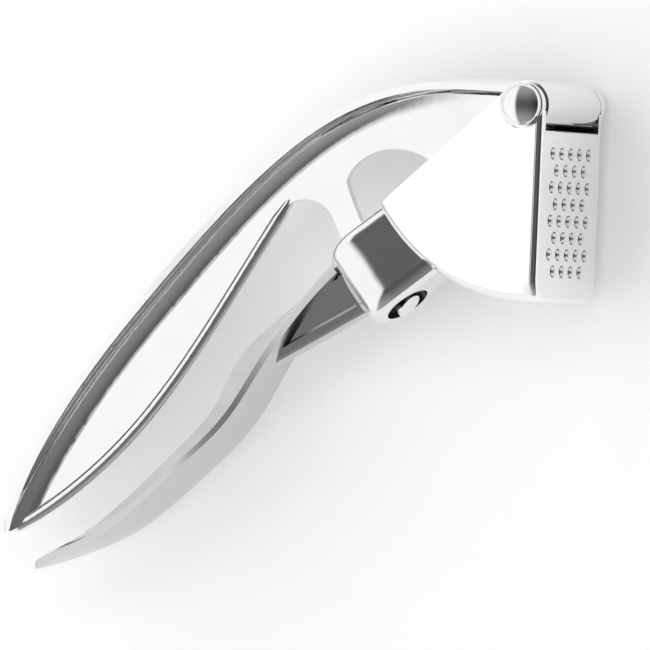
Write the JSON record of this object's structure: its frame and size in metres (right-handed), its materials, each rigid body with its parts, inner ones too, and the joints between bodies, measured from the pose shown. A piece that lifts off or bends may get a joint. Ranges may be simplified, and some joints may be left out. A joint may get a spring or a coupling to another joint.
{
  "type": "garlic press",
  "caption": "Polished steel garlic press: two arched handles on a pin, a hopper with a swing-out sieve, and a cup and punch for pitting olives.",
  "frame": {"origin": "under the middle of the press as it lies on its side, on the surface that it lies on", "axes": "+Z along the pivot pin, up from the table; +X forwards out through the sieve, away from the handles; +Y up the sieve towards the pivot"},
  "size_m": [0.1458, 0.1194, 0.0393],
  "materials": {
    "polished_steel": "mirror polish",
    "satin_steel": "fine polish with light hand wear"
  },
  "bodies": {
    "lower": {"lower_handle": "satin_steel", "pitter_cup": "polished_steel", "hopper_shell": "polished_steel", "pivot_pin": "polished_steel", "pin_cap": "polished_steel", "pin_washers": "polished_steel"},
    "upper": {"upper_handle": "polished_steel", "plunger_plate": "satin_steel", "pitter_punch": "polished_steel"},
    "sieve": {"sieve_plate": "polished_steel"}
  },
  "joints": [
    {"name": "main_pivot", "type": "hinge", "parent": "lower", "child": "upper", "pos_m": [0.06717, 0.05357, 0.01964], "axis": [0, 0, -1], "range_deg": [-2.5, 105]},
    {"name": "sieve_swing", "type": "hinge", "parent": "lower", "child": "sieve", "pos_m": [0.06717, 0.05357, 0.01964], "axis": [0, 0, 1], "range_deg": [0, 75]}
  ]
}
